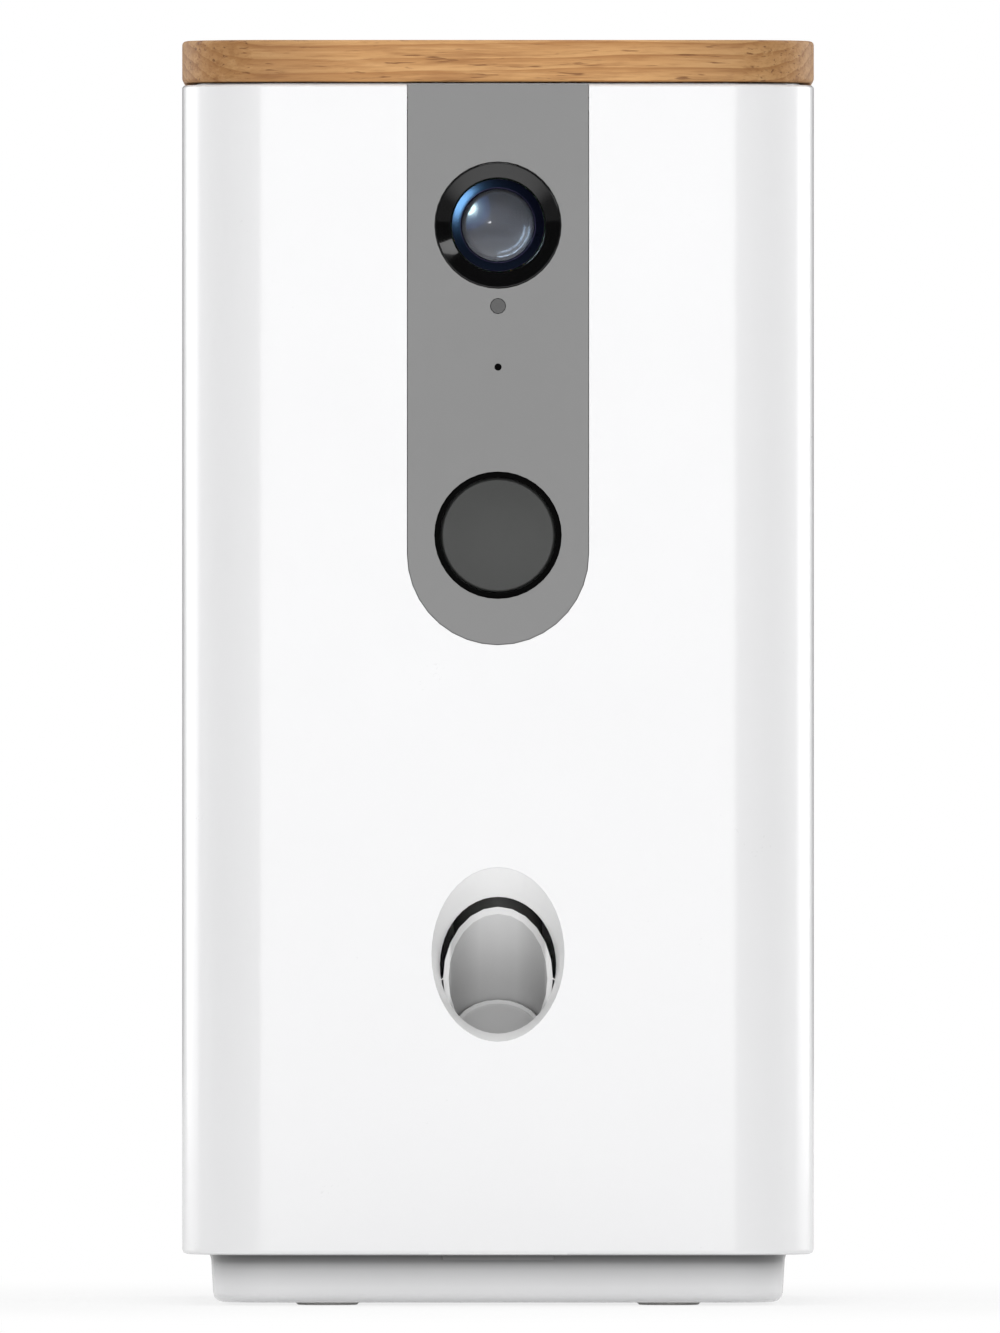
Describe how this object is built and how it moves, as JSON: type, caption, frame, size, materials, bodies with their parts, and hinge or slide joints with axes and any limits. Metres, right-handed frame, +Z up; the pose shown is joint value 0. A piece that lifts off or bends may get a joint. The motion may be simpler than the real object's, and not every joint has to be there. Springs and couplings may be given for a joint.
{
  "type": "treat tossing pet camera",
  "caption": "Tall square-section pet camera with a lift-off wooden lid over a treat hopper, a push button and a chute that tosses treats.",
  "frame": {"origin": "on the floor, under the middle of the housing", "axes": "+Z up through the lid; the front, with the lens and chute, faces -Y; +X is to the right of a viewer who faces the front"},
  "size_m": [0.137, 0.137, 0.274],
  "materials": {
    "white_shell": "glossy white moulded plastic",
    "oak": "satin clear lacquer, straight grain",
    "grey_panel": "fine satin",
    "gloss_black": "high gloss",
    "matt_black": "matt",
    "button_grey": "satin metallic paint",
    "lens_glass": "coated",
    "smoke_plastic": "clear grey",
    "chute_grey": "satin",
    "natural_nylon": "as moulded",
    "black_rubber": "matt",
    "pale_rubber": "matt",
    "clear_silicone": "translucent",
    "steel": "zinc plated",
    "motor_steel": "plain",
    "circuit_board": "solder mask",
    "black_plastic": "fine texture"
  },
  "bodies": {
    "housing": {"outer_housing": "white_shell", "base_plinth": "white_shell", "foot_front_left": "pale_rubber", "foot_front_right": "pale_rubber", "foot_rear_left": "pale_rubber", "foot_rear_right": "pale_rubber", "base_screw_front_left": "steel", "base_screw_front_right": "steel", "base_screw_rear_left": "steel", "base_screw_rear_right": "steel", "front_panel": "grey_panel", "lens_bezel": "gloss_black", "lens_barrel": "gloss_black", "lens_retainer": "gloss_black", "front_lens": "lens_glass", "inner_lens": "lens_glass", "ir_led_board": "circuit_board", "camera_board": "circuit_board", "light_pipe": "smoke_plastic", "microphone": "black_rubber", "button_ring": "matt_black", "button_spring": "steel", "button_board": "circuit_board", "tact_switch": "black_plastic", "launcher_frame": "natural_nylon", "launch_barrel": "chute_grey", "barrel_cap": "natural_nylon", "launch_spring": "steel", "launch_gearmotor": "motor_steel", "wheel_gearmotor": "motor_steel", "chassis": "natural_nylon", "drop_tube": "chute_grey", "wheel_cover": "white_shell", "treat_wiper": "clear_silicone", "treat_hopper": "white_shell", "speaker_grille": "white_shell", "speaker": "motor_steel", "main_board": "circuit_board", "wifi_module": "motor_steel", "dc_jack": "black_plastic"},
    "lid": {"lid_top": "oak", "lid_liner": "white_shell", "lid_seal": "clear_silicone", "lid_screw_front_left": "steel", "lid_screw_front_right": "steel", "lid_screw_rear_left": "steel", "lid_screw_rear_right": "steel"},
    "button": {"toss_button": "button_grey"},
    "wheel": {"treat_wheel": "white_shell", "agitator": "chute_grey", "wheel_shaft": "steel"},
    "plunger": {"launch_plunger": "chute_grey"},
    "pinion": {"launch_pinion": "natural_nylon", "pinion_shaft": "steel"}
  },
  "joints": [
    {"name": "lid_lift", "type": "slide", "parent": "housing", "child": "lid", "axis": [0, 0, 1], "range_m": [0, 0.06]},
    {"name": "button_press", "type": "slide", "parent": "housing", "child": "button", "axis": [0, 1, 0], "range_m": [0, 0.0012], "stiffness_N_per_m": 300, "springref_m": -0.002, "deforming": ["button_spring"]},
    {"name": "wheel_turn", "type": "hinge", "parent": "housing", "child": "wheel", "pos_m": [0, -0.003, 0.1256], "axis": [0, 0, 1], "continuous": true},
    {"name": "plunger_slide", "type": "slide", "parent": "housing", "child": "plunger", "axis": [0, 0.766, -0.6428], "range_m": [0, 0.02], "stiffness_N_per_m": 150, "springref_m": -0.01, "deforming": ["launch_spring"]},
    {"name": "pinion_turn", "type": "hinge", "parent": "housing", "child": "pinion", "pos_m": [0, -0.0452, 0.02649], "axis": [-1, 0, 0], "range_deg": [0, 130]}
  ],
  "couplings": [
    {"joint": "pinion_turn", "follows": "plunger_slide", "rad_per_m": 111.11}
  ]
}
